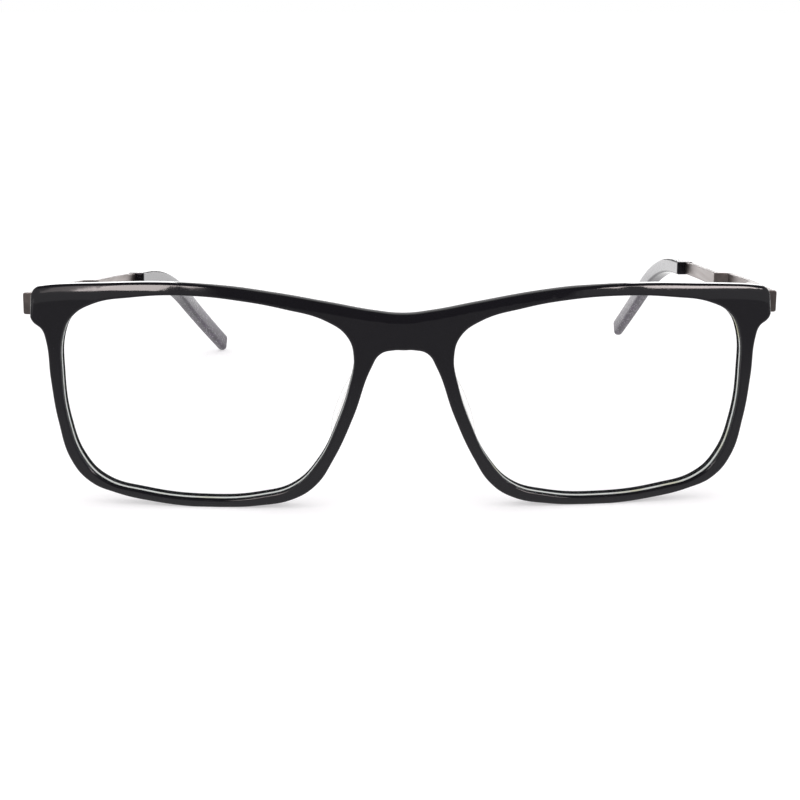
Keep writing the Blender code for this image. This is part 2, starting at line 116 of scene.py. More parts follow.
RIM_OPENING = (
    (39.5, 40.1),
    (50.0, 39.6),
    (57.3, 38.35),
    (61.2, 36.1),
    (63.0, 32.8),
    (63.65, 25.0),
    (62.75, 15.5),
    (60.3, 8.6),
    (56.6, 4.8),
    (49.0, 2.65),
    (37.0, 1.55),
    (27.0, 2.3),
    (20.6, 4.3),
    (16.0, 9.1),
    (12.6, 16.0),
    (10.1, 23.6),
    (9.25, 29.2),
    (10.4, 33.0),
    (14.0, 35.8),
    (22.0, 38.15),
    (30.0, 39.5),
)
OUTLINE_STEPS = 12
FRONT_THICKNESS = 4.0 * MM
FRONT_BEND_RADIUS = 380.0 * MM
FRONT_BEVEL = 0.4 * MM
BEVEL_STEPS = 5
EDGE_MARGIN = 0.12 * MM

# How meshes are made
SURFACE_STEP = 0.6 * MM
EDGE_CLEARANCE = SURFACE_STEP * 0.6
SMOOTH_ANGLE = math.radians(40)
WELD = 1e-7
FILL_WELD = 1e-8
CAD_WELD = 1e-6
CAD_FLAT_ANGLE = math.radians(1)

# The brow, where the front's face rolls back towards its top edge: less over the bridge than over the
# lenses, and hardly at the lugs' ends. Hand polishing has left it wider on the left of the bridge.
BROW_REACH_SIDE = 3.2 * MM
BROW_REACH_LEFT = 2.2 * MM
BROW_REACH_RIGHT = 1.4 * MM
BROW_LEFT_TO_RIGHT = (-14.0 * MM, 9.0 * MM)
BROW_MIDDLE_TO_SIDE = (30.0 * MM, 42.0 * MM)
BROW_DROP_SIDE = 1.0 * MM
BROW_DROP_MIDDLE = 0.5 * MM
BROW_FADE = (70.5 * MM, 67.5 * MM)
BROW_LEAST = 0.15
TOP_FALL_SIDE = 0.25 * MM
TOP_FALL_MIDDLE = 0.1 * MM
TOP_EDGE_LOWEST = 36 * MM
TOP_EDGE_FACING = 0.5

# The left half of the brow stands a little higher than the right, as the photograph shows. The lift grows
# from the first to the second place of each pair.
LEFT_LIFT = 0.5 * MM
LEFT_LIFT_X = (-22.0 * MM, -45.0 * MM)
LEFT_LIFT_Z = (36.0 * MM, 42.0 * MM)

# Lenses, each with a ground bevel round its edge that sits in the rim's groove
GROOVE_DEPTH = 0.55 * MM
GROOVE_WIDTH = 1.0 * MM
GROOVE_SETBACK = 1.35 * MM
LENS_THICKNESS = 0.8 * MM
LENS_EDGE_GAP = 0.12 * MM
LENS_SHOWN_EDGE = 0.03 * MM

# Nose pads
PAD_CENTRE = Vector((10.3, 0.0, 19.3)) * MM
PAD_HALF_SIZE = Vector((1.2, 5.2, 7.6)) * MM
PAD_LEAN = math.radians(22.0)
PAD_FLARE = 0.3
PAD_GAP = 0.02 * MM
PAD_SEGMENTS = 64
PAD_SMOOTH_ANGLE = math.radians(50)

# Hinges
PIVOT = Vector((66.2, 12.0, 37.35)) * MM
FRONT_PLATE_X = (-2.6 * MM, 1.1 * MM)
FRONT_PLATE_Y = (-3.4 * MM, -2.2 * MM)
FRONT_PLATE_HALF_HEIGHT = 2.3 * MM
POCKET_GAP = 0.15 * MM
HINGE_BEVEL = 0.12 * MM
HINGE_BEVEL_STEPS = 3
HINGE_CORNER = math.radians(60)

# Temple centreline, by the distance along it from the pivot
ARM_BOW = 0.48
BEND_START = 66.0 * MM
BEND_RADIUS = 82.5 * MM
TIP_ANGLE = math.radians(31.0)
TIP_END = 134.47 * MM

# Metal arm, whose blade steps inwards and ends in the mouth of the tip
ARM_FRONT = -1.4 * MM
ARM_END_BLOCK = 9.0 * MM
ARM_BLADE_START = 15.0 * MM
ARM_BLADE_END = 59.4 * MM
ARM_INNER_AT_HINGE = 1.4 * MM
ARM_INNER = 3.8 * MM
ARM_OUTER = 5.0 * MM
ARM_HEIGHT_FRONT = 4.1 * MM
ARM_HEIGHT_STEP = 2.8 * MM
ARM_HEIGHT_BACK = 2.65 * MM
ARM_END_ROUNDING = 0.4 * MM
ARM_ROUNDING = 0.14 * MM
STEP_START = 30.85 * MM
STEP_LENGTH = 1.2 * MM
STEP_LAG = 0.9 * MM
STEP_INWARD = 2.7 * MM
STEP_CORNER = 0.16
STEP_SECTIONS = 42

# Acetate tip
TIP_START = 58.8 * MM
TIP_MIDDLE = 1.0 * MM
TIP_THICKNESS_START = 3.6 * MM
TIP_THICKNESS_END = 2.3 * MM
TIP_HEIGHT_START = 2.9 * MM
TIP_HEIGHT_END = 4.5 * MM
TIP_ROUNDING_START = 0.4 * MM
TIP_ROUNDING_END = 1.0 * MM
TIP_MOUTH_ROUNDING = 0.25 * MM
TIP_CORNER_RADIUS = 0.9 * MM
TIP_END_TAPER = 0.35 * MM

# Sections of the arm and the tip. A rounding takes at most FULLEST_ROUNDING of a section's width or height.
PATH_STEP = 0.8 * MM
CORNER_STEPS = 5
FULLEST_ROUNDING = 0.48

# Floor, in metres. Its lit colour throws light on the object. The camera sees a darker colour and a glow,
# which are white together in full light, so that only the object's shadow shows.
FLOOR_HALF_SIZE = 20.0
FLOOR_CELLS = 8
FLOOR_LIT = (0.975, 0.97, 0.975, 1)
FLOOR_SEEN = (0.69, 0.675, 0.685, 1)
FLOOR_GLOW = (0.45, 0.445, 0.45, 1)

# The floor in mirror images is painted light: a glow whose level is the sum of three steps, before, under
# and behind the object. It is dim before the object, as painted shade, and above white behind it, as a
# painted pool of light. Each step goes from one depth to another, and from one level to another.
FLOOR_PAINTED_MIRROR_LEVELS = (
    (-0.2, -0.08, 0.22, 0.5),
    (-0.08, -0.045, 0.0, 0.5),
    (0.06, 0.16, 0.0, 1.0),
)

# Levels of the room in mirror images
ROOM_DARK = 0.02
ROOM_REAR = 0.35
ROOM_SIDES = 0.45

# Camera, fitted to the photograph's view, with its lens and sensor in millimetres
CAMERA_PLACE = Vector((-8.7, -268.0, 91.6)) * MM
CAMERA_PITCH = math.radians(14.71)
CAMERA_YAW = math.radians(1.70)
CAMERA_ROLL = math.radians(0.08)
CAMERA_LENS = 67.5
CAMERA_SENSOR = 36.0
CAMERA_CLIP_START = 0.01


# Node trees


class Wire:
    """A socket in a node tree. Arithmetic on it adds Math nodes, and add() puts in any other node."""

    def __init__(self, tree, socket=None):
        self.tree = tree
        self.socket = socket

    def add(self, kind, settings=None, sockets=None, out=0):
        node = self.tree.nodes.new(kind)
        for name, value in (settings or {}).items():
            setattr(node, name, value)
        for name, value in (sockets or {}).items():
            if isinstance(value, Wire):
                self.tree.links.new(value.socket, node.inputs[name])
            else:
                node.inputs[name].default_value = value
        return Wire(self.tree, node.outputs[out] if node.outputs else None)

    def math(self, operation, *values):
        return self.add("ShaderNodeMath", {"operation": operation}, dict(enumerate(values)))

    def __add__(self, other):
        return self.math("ADD", self, other)

    def __radd__(self, other):
        return self.math("ADD", other, self)

    def __sub__(self, other):
        return self.math("SUBTRACT", self, other)

    def __rsub__(self, other):
        return self.math("SUBTRACT", other, self)

    def __mul__(self, other):
        return self.math("MULTIPLY", self, other)

    def __rmul__(self, other):
        return self.math("MULTIPLY", other, self)

    def __truediv__(self, other):
        return self.math("DIVIDE", self, other)

    def __rtruediv__(self, other):
        return self.math("DIVIDE", other, self)

    def ramp(self, low, high, to_low=0.0, to_high=1.0):
        """This value carried smoothly from low..high to to_low..to_high, and held beyond them."""
        return self.add(
            "ShaderNodeMapRange",
            {"interpolation_type": "SMOOTHSTEP"},
            {0: self, 1: low, 2: high, 3: to_low, 4: to_high},
        )

    def mix(self, first, second):
        """The colour between two, by this value."""
        return self.add("ShaderNodeMix", {"data_type": "RGBA"}, {0: self, 6: first, 7: second}, out=2)


def grey(level):
    return (level, level, level, 1.0)


def new_material(name):
    material = bpy.data.materials.new(name)
    material.use_nodes = True
    material.node_tree.nodes.clear()
    return material, Wire(material.node_tree)


def show(wires, shader):
    wires.add("ShaderNodeOutputMaterial", None, {"Surface": shader})


def place(wires, scale=(1, 1, 1)):
    """Object coordinates in metres, stretched by a scale."""
    at = wires.add("ShaderNodeTexCoord", out="Object")
    return wires.add("ShaderNodeMapping", None, {"Vector": at, "Scale": scale})


def noise(wires, at, scale, detail=2.0, roughness=0.5):
    sockets = {"Vector": at, "Scale": scale, "Detail": detail, "Roughness": roughness}
    return wires.add("ShaderNodeTexNoise", None, sockets)


def specks(wires, at, scale, size):
    """1 in small round specks, scattered at random, that fade over their outer half, and 0 elsewhere."""
    near = wires.add(
        "ShaderNodeTexVoronoi", {"feature": "F1"}, {"Vector": at, "Scale": scale, "Randomness": 1.0}
    )
    return near.ramp(size, size * 0.5)


def bump(wires, height, distance, strength=0.5):
    sockets = {"Height": height, "Distance": distance, "Strength": strength}
    return wires.add("ShaderNodeBump", None, sockets)


def principled(wires, sockets):
    return wires.add("ShaderNodeBsdfPrincipled", None, sockets)


def blend(wires, share, first, second):
    """A shader between two, by a share."""
    return wires.add("ShaderNodeMixShader", None, {0: share, 1: first, 2: second})


def ray_kinds(wires):
    """Wires that are 1 for what the camera sees straight, in a mirror image, and through glass."""
    kinds = ("Is Camera Ray", "Is Glossy Ray", "Is Transmission Ray")
    return [wires.add("ShaderNodeLightPath", out=kind) for kind in kinds]


# Finishes


def black_acetate():
    """Polished black sheet: a faint waviness left by hand polishing, smears, and a few grains of dust."""
    material, wires = new_material("black_acetate_polished")
    at = place(wires)
    smear = noise(wires, at, scale=160.0, detail=4.0, roughness=0.6)
    dust = specks(wires, at, scale=210.0, size=0.035)
    wave = noise(wires, at, scale=120.0, detail=1.0)
    black = smear.mix((0.0088, 0.0080, 0.0104, 1), (0.0112, 0.0104, 0.0130, 1))
    sockets = {
        "Base Color": dust.mix(black, grey(0.4)),
        "Roughness": smear.ramp(0.35, 0.75, to_low=0.045, to_high=0.11) + dust * 0.4,
        "Normal": bump(wires, wave, distance=0.12 * MM),
    }
    show(wires, principled(wires, sockets))
    return material


def clear_lens():
    """A thin clear lens whose coating leaves only a weak mirror image."""
    material, wires = new_material("lens_clear")
    at = place(wires)
    film = noise(wires, at, scale=90.0, detail=3.0)
    clear = wires.add("ShaderNodeBsdfTransparent", None, {"Color": (0.994, 0.995, 0.995, 1)})
    mirror = wires.add("ShaderNodeBsdfGlossy", None, {"Color": (0.8, 0.9, 0.95, 1), "Roughness": 0.02})
    gloss = wires.add("ShaderNodeFresnel", None, {"IOR": 1.5})
    share = gloss * film.ramp(0.2, 0.8, to_low=0.2, to_high=0.24)
    show(wires, blend(wires, share, clear, mirror))
    return material


def ground_edge():
    """The frosted bevel that is ground round a lens."""
    material, wires = new_material("lens_edge_ground")
    at = place(wires)
    grain = noise(wires, at, scale=2600.0, detail=3.0)
    # Yellowish patches scattered at random over the pale edge
    yellow_patches = noise(wires, at, scale=170.0, detail=1.0).ramp(0.55, 0.75)
    pale = yellow_patches.mix((0.80, 0.81, 0.79, 1), (0.68, 0.66, 0.48, 1))
    sockets = {
        "Base Color": grain.ramp(0.3, 0.7, to_high=0.25).mix(pale, grey(0.8)),
        "Roughness": grain.ramp(0.3, 0.7, to_low=0.4, to_high=0.65),
        "Normal": bump(wires, grain, distance=0.02 * MM),
    }
    show(wires, principled(wires, sockets))
    return material


def clear_acetate():
    """Clear pads, which show mostly at their edges."""
    material, wires = new_material("pad_clear_acetate")
    at = place(wires)
    cloud = noise(wires, at, scale=400.0, detail=3.0)
    clear = wires.add("ShaderNodeBsdfTransparent", None, {"Color": (0.985, 0.985, 0.98, 1)})
    sockets = {
        "Base Color": cloud.mix((0.80, 0.79, 0.75, 1), (0.72, 0.71, 0.67, 1)),
        "Roughness": cloud.ramp(0.3, 0.7, to_low=0.08, to_high=0.16),
    }
    edge = wires.add("ShaderNodeLayerWeight", None, {"Blend": 0.32}, out="Fresnel")
    share = edge.ramp(0.0, 1.0, to_low=0.01, to_high=0.28)
    show(wires, blend(wires, share, clear, principled(wires, sockets)))
    return material


def brushed_metal(name, dark, light, roughness, stretch):
    """Metal with fine brush lines, that run along the axis in which stretch is small."""
    material, wires = new_material(name)
    lines = noise(wires, place(wires, stretch), scale=900.0, detail=4.0, roughness=0.65)
    cloud = noise(wires, place(wires), scale=110.0, detail=3.0)
    tone = lines.ramp(0.25, 0.75, to_high=0.6) + cloud.ramp(0.3, 0.7, to_high=0.4)
    sockets = {
        "Base Color": tone.mix(dark, light),
        "Metallic": 1.0,
        "Roughness": lines.ramp(0.25, 0.75, to_low=roughness * 0.8, to_high=roughness * 1.2),
        "Normal": bump(wires, lines, distance=0.004 * MM),
    }
    show(wires, principled(wires, sockets))
    return material


def rim_wall():
    """The rims' inner walls, which are milled and not polished."""
    material, wires = new_material("black_acetate_milled")
    grain = noise(wires, place(wires), scale=2600.0, detail=4.0, roughness=0.7)
    sockets = {
        "Base Color": grain.ramp(0.4, 0.7).mix((0.006, 0.006, 0.007, 1), (0.030, 0.029, 0.031, 1)),
        "Roughness": grain.ramp(0.3, 0.7, to_low=0.5, to_high=0.7),
        "Specular IOR Level": 0.0,
        "Normal": bump(wires, grain, distance=0.04 * MM, strength=0.6),
    }
    show(wires, principled(wires, sockets))
    return material


def tip_acetate():
    """Polished black tips, worn to a fine grain and dusted with pale grains towards their ends."""
    material, wires = new_material("black_acetate_worn")
    at = place(wires)
    along = wires.add("ShaderNodeAttribute", {"attribute_name": "along"}, out="Fac")
    worn = along.ramp(0.5, 0.9)
    grain = noise(wires, at, scale=1500.0, detail=4.0, roughness=0.65)
    patches = noise(wires, at, scale=420.0).ramp(0.36, 0.56)
    dust = specks(wires, at, scale=1900.0, size=0.32) * patches * worn
    black = grain.mix((0.0035, 0.0034, 0.0042, 1), (0.0070, 0.0066, 0.0082, 1))
    rubbed = (grain.ramp(0.35, 0.7) * worn).mix(black, (0.078, 0.053, 0.092, 1))
    sockets = {
        "Base Color": dust.mix(rubbed, (0.50, 0.47, 0.51, 1)),
        "Roughness": grain.ramp(0.3, 0.7, to_low=0.10, to_high=0.18) + worn * 0.19,
        "Specular Tint": (0.97, 0.92, 1.0, 1),
        "Normal": bump(wires, grain, distance=0.02 * MM),
    }
    show(wires, principled(wires, sockets))
    return material


def nylon():
    """Milky nylon of the hinge washers."""
    material, wires = new_material("washer_nylon_milky")
    cloud = noise(wires, place(wires), scale=1500.0, detail=3.0)
    sockets = {
        "Base Color": cloud.mix((0.70, 0.68, 0.62, 1), (0.78, 0.76, 0.70, 1)),
        "Roughness": cloud.ramp(0.3, 0.7, to_low=0.42, to_high=0.55),
    }
    show(wires, principled(wires, sockets))
    return material


BLACK_ACETATE = black_acetate()
CLEAR_LENS = clear_lens()
GROUND_EDGE = ground_edge()
CLEAR_ACETATE = clear_acetate()
ARM_METAL = brushed_metal(
    "arm_metal_gunmetal",
    dark=(0.176, 0.151, 0.145, 1),
    light=(0.238, 0.207, 0.200, 1),
    roughness=0.37,
    stretch=(1.0, 0.06, 1.0),
)
HINGE_METAL = brushed_metal(
    "hinge_metal_nickel",
    dark=(0.40, 0.385, 0.37, 1),
    light=(0.52, 0.50, 0.48, 1),
    roughness=0.34,
    stretch=(1.0, 1.0, 0.1),
)
RIM_WALL = rim_wall()
TIP_ACETATE = tip_acetate()
NYLON = nylon()


# Mesh helpers


def world(x, depth, z):
    return Vector((x, depth + FRONT_DEPTH, z))


def new_object(name, data):
    made = bpy.data.objects.new(name, data)
    bpy.context.scene.collection.objects.link(made)
    return made


def new_piece(name, mesh, body, slot, *nodes):
    """A finished piece that rides on a body and stands for CAD nodes."""
    piece = new_object(name, mesh)
    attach(piece, body)
    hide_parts(*nodes)


def plain_mesh(bm, name):
    mesh = bpy.data.meshes.new(name)
    bm.to_mesh(mesh)
    bm.free()
    return mesh


def finished_mesh(bm, name, materials, smooth_angle=SMOOTH_ANGLE):
    """A welded mesh whose faces point outwards, smooth up to an angle."""
    bmesh.ops.remove_doubles(bm, verts=bm.verts, dist=WELD)
    bm.normal_update()
    bmesh.ops.recalc_face_normals(bm, faces=bm.faces)
    mesh = plain_mesh(bm, name)
    for material in materials:
        mesh.materials.append(material)
    mesh.shade_smooth()
    mesh.set_sharp_from_angle(angle=smooth_angle)
    return mesh


def evaluated_mesh(obj):
    """A plain mesh of what the object's curve or modifiers give. The object is removed."""
    graph = bpy.context.evaluated_depsgraph_get()
    mesh = bpy.data.meshes.new_from_object(obj.evaluated_get(graph))
    bpy.data.objects.remove(obj, do_unlink=True)
    return mesh


# Outlines


def mirrored(half_outline):
    left = [(-point[0], *point[1:]) for point in reversed(half_outline) if point[0] > 0]
    return list(half_outline) + left


def opening(side):
    return [(side * x, z) for x, z in RIM_OPENING]


def traced(outline):
    """Closely spaced (x, z) points round a smooth curve through the outline's points."""
    curve = bpy.data.curves.new("outline", "CURVE")
    curve.dimensions = "2D"
    curve.fill_mode = "NONE"
    curve.resolution_u = OUTLINE_STEPS
    spline = curve.splines.new("BEZIER")
    spline.bezier_points.add(len(outline) - 1)
    spline.use_cyclic_u = True
    flat = [len(point) > 2 for point in outline]
    for index, (knot, point) in enumerate(zip(spline.bezier_points, outline)):
        knot.co = (point[0] * MM, point[1] * MM, 0)
        after = (index + 1) % len(outline)
        knot.handle_left_type = "VECTOR" if flat[index] and flat[index - 1] else "AUTO"
        knot.handle_right_type = "VECTOR" if flat[index] and flat[after] else "AUTO"
    mesh = evaluated_mesh(new_object("outline", curve))
    return np.array([vert.co[:2] for vert in mesh.vertices])


def outward(points):
    """Unit vectors that point out of a closed outline, at each of its points."""
    along = np.roll(points, -1, axis=0) - np.roll(points, 1, axis=0)
    normals = np.stack([along[:, 1], -along[:, 0]], axis=1)
    normals /= np.linalg.norm(normals, axis=1)[:, None]
    following = np.roll(points, -1, axis=0)
    area = np.sum(points[:, 0] * following[:, 1] - following[:, 0] * points[:, 1])
    return normals if area > 0 else -normals


def inside(polygon, points):
    """Which points lie in a closed polygon."""
    hit = np.zeros(len(points), bool)
    x, z = points[:, 0], points[:, 1]
    for (x0, z0), (x1, z1) in zip(polygon, np.roll(polygon, -1, axis=0)):
        if z0 == z1:
            continue
        crosses = (z0 > z) != (z1 > z)
        hit ^= crosses & (x < (x1 - x0) * (z - z0) / (z1 - z0) + x0)
    return hit


def in_material(loops, points):
    """Which points lie inside the first loop and outside the others."""
    keep = inside(loops[0], points)
    for hole in loops[1:]:
        keep &= ~inside(hole, points)
    return keep


class Wall(NamedTuple):
    """An edge of a plate: an outline, which way its material lies, and its profile (inset, depth).

    The profile's bands from the first to before the last of rough take the plate's second material.
    """

    outline: np.ndarray
    into_material: int
    profile: tuple
    rough: tuple = (0, 0)


def plate_mesh(name, walls, shape, materials):
    """A plate between walls, the first of which is its outer edge. shape(x, depth, z) gives each place."""
    bm = bmesh.new()
    rims = []
    for wall in walls:
        normals = outward(wall.outline) * wall.into_material
        rings = []
        for inset, depth in wall.profile:
            flat = wall.outline + normals * inset
            rings.append([bm.verts.new(shape(x, depth, z)) for x, z in flat])
        for band, (ring, following) in enumerate(zip(rings, rings[1:])):
            for index in range(len(ring)):
                corners = (ring[index - 1], ring[index], following[index], following[index - 1])
                bm.faces.new(corners).material_index = int(wall.rough[0] <= band < wall.rough[1])
        rims.append((wall, normals, rings))
    for end in (0, -1):
        depth = walls[0].profile[end][1]
        loops = [wall.outline + normals * wall.profile[end][0] for wall, normals, _ in rims]
        loop_verts = [vert for _, _, rings in rims for vert in rings[end]]
        fill_cap(bm, loops, loop_verts, lambda x, z: shape(x, depth, z))
    return finished_mesh(bm, name, materials)


def fill_cap(bm, loops, loop_verts, shape):
    """Fills the space inside the first loop and outside the others with small triangles."""
    edges = []
    start = 0
    for loop in loops:
        count = len(loop)
        edges += [(start + index, start + (index + 1) % count) for index in range(count)]
        start += count
    boundary = np.concatenate(loops)
    fill = grid_points(loops, boundary)
    flat = [Vector(point) for point in boundary] + [Vector(point) for point in fill]
    places, _, faces, sources, _, _ = geometry.delaunay_2d_cdt(flat, edges, [], 1, FILL_WELD)
    verts = []
    for spot, source in zip(places, sources):
        known = [index for index in source if index < len(boundary)]
        verts.append(loop_verts[known[0]] if known else bm.verts.new(shape(spot.x, spot.y)))
    centres = np.array([sum((places[index] for index in face), Vector((0, 0))) / 3 for face in faces])
    for face, kept in zip(faces, in_material(loops, centres)):
        corners = [verts[index] for index in face]
        if kept and len(set(corners)) == 3 and bm.faces.get(corners) is None:
            bm.faces.new(corners)


def grid_points(loops, boundary):
    """Points of a triangular grid in the space between the loops, clear of their edges."""
    low, high = boundary.min(axis=0), boundary.max(axis=0)
    rows = np.arange(low[1], high[1], SURFACE_STEP * math.sin(math.radians(60)))
    columns = np.arange(low[0], high[0], SURFACE_STEP)
    points = np.array(
        [(x + (row % 2) * SURFACE_STEP / 2, z) for row, z in enumerate(rows) for x in columns]
    )
    points = points[in_material(loops, points)]
    tree = kdtree.KDTree(len(boundary))
    for index, (x, z) in enumerate(boundary):
        tree.insert((x, z, 0), index)
    tree.balance()
    return [(x, z) for x, z in points if tree.find((x, z, 0))[2] > EDGE_CLEARANCE]


def quarter_turn(steps):
    """Angles from 0 to 90 degrees."""
    return [math.radians(90) * step / steps for step in range(steps + 1)]


def round_edge(depth, inwards):
    """Profile points of a rounded edge at a face's depth, from the face to the wall."""
    return [
        (FRONT_BEVEL * (1 - math.sin(angle)), depth + inwards * FRONT_BEVEL * (1 - math.cos(angle)))
        for angle in quarter_turn(BEVEL_STEPS)
    ]


def edge_profile(groove=()):
    """Profile of a wall of the front, rounded at both faces, with a groove between them."""
    front = [(FRONT_BEVEL + EDGE_MARGIN, 0.0)] + round_edge(0.0, 1)
    back = [(FRONT_BEVEL + EDGE_MARGIN, FRONT_THICKNESS)] + round_edge(FRONT_THICKNESS, -1)
    return tuple(front + list(groove) + back[::-1])


# Front, lenses and pads

FRONT_OUTLINE = traced(mirrored(FRONT_HALF_OUTLINE))


def top_edge():
    """The points of the front's outline that lie high and face up, from left to right."""
    faces_up = outward(FRONT_OUTLINE)[:, 1] > TOP_EDGE_FACING
    points = FRONT_OUTLINE[faces_up & (FRONT_OUTLINE[:, 1] > TOP_EDGE_LOWEST)]
    return points[np.argsort(points[:, 0])]


TOP_EDGE = top_edge()


def bend_depth(x):
    return x * x / (2 * FRONT_BEND_RADIUS)


def smooth_step(low, high, value):
    share = min(max((value - low) / (high - low), 0.0), 1.0)
    return share * share * (3 - 2 * share)


def between(first, last, share):
    return first + (last - first) * share


def left_lift(x, z):
    return LEFT_LIFT * smooth_step(*LEFT_LIFT_X, x) * smooth_step(*LEFT_LIFT_Z, z)


def front_shape(x, depth, z):
    """A place on the bent front. Its face rolls back at the brow, its top falls towards the back, and the
    left of its brow is lifted."""
    to_side = smooth_step(*BROW_MIDDLE_TO_SIDE, abs(x))
    reach = between(BROW_REACH_LEFT, BROW_REACH_RIGHT, smooth_step(*BROW_LEFT_TO_RIGHT, x))
    reach = between(reach, BROW_REACH_SIDE, to_side)
    below = max(np.interp(x, TOP_EDGE[:, 0], TOP_EDGE[:, 1]) - z, 0.0)
    near = max(1 - below / reach, 0.0)
    roll = between(BROW_DROP_MIDDLE, BROW_DROP_SIDE, to_side) * near * near
    roll *= between(BROW_LEAST, 1.0, smooth_step(*BROW_FADE, abs(x)))
    roll *= smooth_step(FRONT_THICKNESS, 0.0, depth)
    fall = between(TOP_FALL_MIDDLE, TOP_FALL_SIDE, to_side) * near * depth / FRONT_THICKNESS
    return world(x, depth + bend_depth(x) + roll, z - fall + left_lift(x, z))


def lens_shape(x, depth, z):
    return world(x, depth + bend_depth(x), z + left_lift(x, z))


def cut_pockets(mesh):
    """Cuts the recesses for the hinge plates into the backs of the lugs."""
    front = new_object("front_uncut", mesh)
    cutters = []
    for temple in TEMPLES:
        bm = bmesh.new()
        bmesh.ops.create_cube(bm, size=1.0)
        x_range = (FRONT_PLATE_X[0] - POCKET_GAP, FRONT_PLATE_X[1] + POCKET_GAP)
        y_range = (FRONT_PLATE_Y[0] - POCKET_GAP, 0.0)
        half = FRONT_PLATE_HALF_HEIGHT + POCKET_GAP
        size = (x_range[1] - x_range[0], y_range[1] - y_range[0], 2 * half)
        middle = Vector((sum(x_range) / 2, sum(y_range) / 2, 0)) + PIVOT
        spot = world(temple.side * middle.x, middle.y, middle.z)
        bm.transform(Matrix.Translation(spot) @ Matrix.Diagonal((*size, 1.0)))
        cutter = new_object("pocket", finished_mesh(bm, "pocket", [BLACK_ACETATE]))
        modifier = front.modifiers.new("pocket", "BOOLEAN")
        modifier.operation = "DIFFERENCE"
        modifier.solver = "EXACT"
        modifier.object = cutter
        cutters.append(cutter)
    cut = evaluated_mesh(front)
    for cutter in cutters:
        bpy.data.objects.remove(cutter, do_unlink=True)
    cut.set_sharp_from_angle(angle=SMOOTH_ANGLE)
    return cut


def add_front():
    """The front, with a milled wall and a groove for the lens round each opening."""
    groove_front = GROOVE_SETBACK - GROOVE_WIDTH / 2
    groove_back = GROOVE_SETBACK + GROOVE_WIDTH / 2
    groove = (
        (0.0, groove_front),
        (GROOVE_DEPTH, groove_front),
        (GROOVE_DEPTH, groove_back),
        (0.0, groove_back),
    )
    walls = [Wall(FRONT_OUTLINE, -1, edge_profile())]
    milled = (BEVEL_STEPS + 1, BEVEL_STEPS + 2 + len(groove))
    for temple in TEMPLES:
        walls.append(Wall(traced(opening(temple.side)), 1, edge_profile(groove), milled))
    mesh = cut_pockets(plate_mesh("front_polished", walls, front_shape, [BLACK_ACETATE, RIM_WALL]))
    mesh.name = "front_polished"
    new_piece("front_polished", mesh, "front", "black_acetate", "front_frame")


def add_lens(temple):
    """A bent clear plate whose edge is ground to a ridge that sits in the groove."""
    reach = GROOVE_DEPTH - LENS_EDGE_GAP
    front = GROOVE_SETBACK - LENS_THICKNESS / 2
    back = GROOVE_SETBACK + LENS_THICKNESS / 2
    profile = (
        (LENS_SHOWN_EDGE, front),
        (-reach, GROOVE_SETBACK),
        (LENS_SHOWN_EDGE, back),
    )
    wall = Wall(traced(opening(temple.side)), -1, profile, rough=(0, 2))
    name = f"{temple.label}_lens_ground"
    mesh = plate_mesh(name, [wall], lens_shape, [CLEAR_LENS, GROUND_EDGE])
    new_piece(name, mesh, "front", "clear_lens", f"{temple.label}_lens")


def add_nose_pad(temple):
    """The rear half of a leaning egg, which flares outwards and sits on the front's back."""
    back_face = bend_depth(PAD_CENTRE.x) + FRONT_THICKNESS + PAD_GAP
    bm = bmesh.new()
    bmesh.ops.create_uvsphere(bm, u_segments=PAD_SEGMENTS, v_segments=PAD_SEGMENTS // 2, radius=1.0)
    bm.transform(Matrix.Diagonal((*PAD_HALF_SIZE, 1.0)))
    bm.transform(Matrix.Rotation(-PAD_LEAN, 4, "Y"))
    everything = bm.verts[:] + bm.edges[:] + bm.faces[:]
    cut = bmesh.ops.bisect_plane(
        bm, geom=everything, dist=WELD, plane_co=(0, 0, 0), plane_no=(0, 1, 0), clear_inner=True
    )
    rim = [item for item in cut["geom_cut"] if isinstance(item, bmesh.types.BMEdge)]
    bmesh.ops.contextual_create(bm, geom=rim)
    for vert in bm.verts:
        x = temple.side * (vert.co.x + PAD_CENTRE.x + PAD_FLARE * vert.co.y)
        vert.co = world(x, vert.co.y + back_face, vert.co.z + PAD_CENTRE.z)
    name = f"{temple.label}_pad_clear"
    mesh = finished_mesh(bm, name, [CLEAR_ACETATE], PAD_SMOOTH_ANGLE)
    new_piece(name, mesh, "front", "clear_acetate", f"{temple.label}_nose_pad")


# Temples. A piece is made straight, as (x outwards, y along, z up), and a node tree bends it to its place.


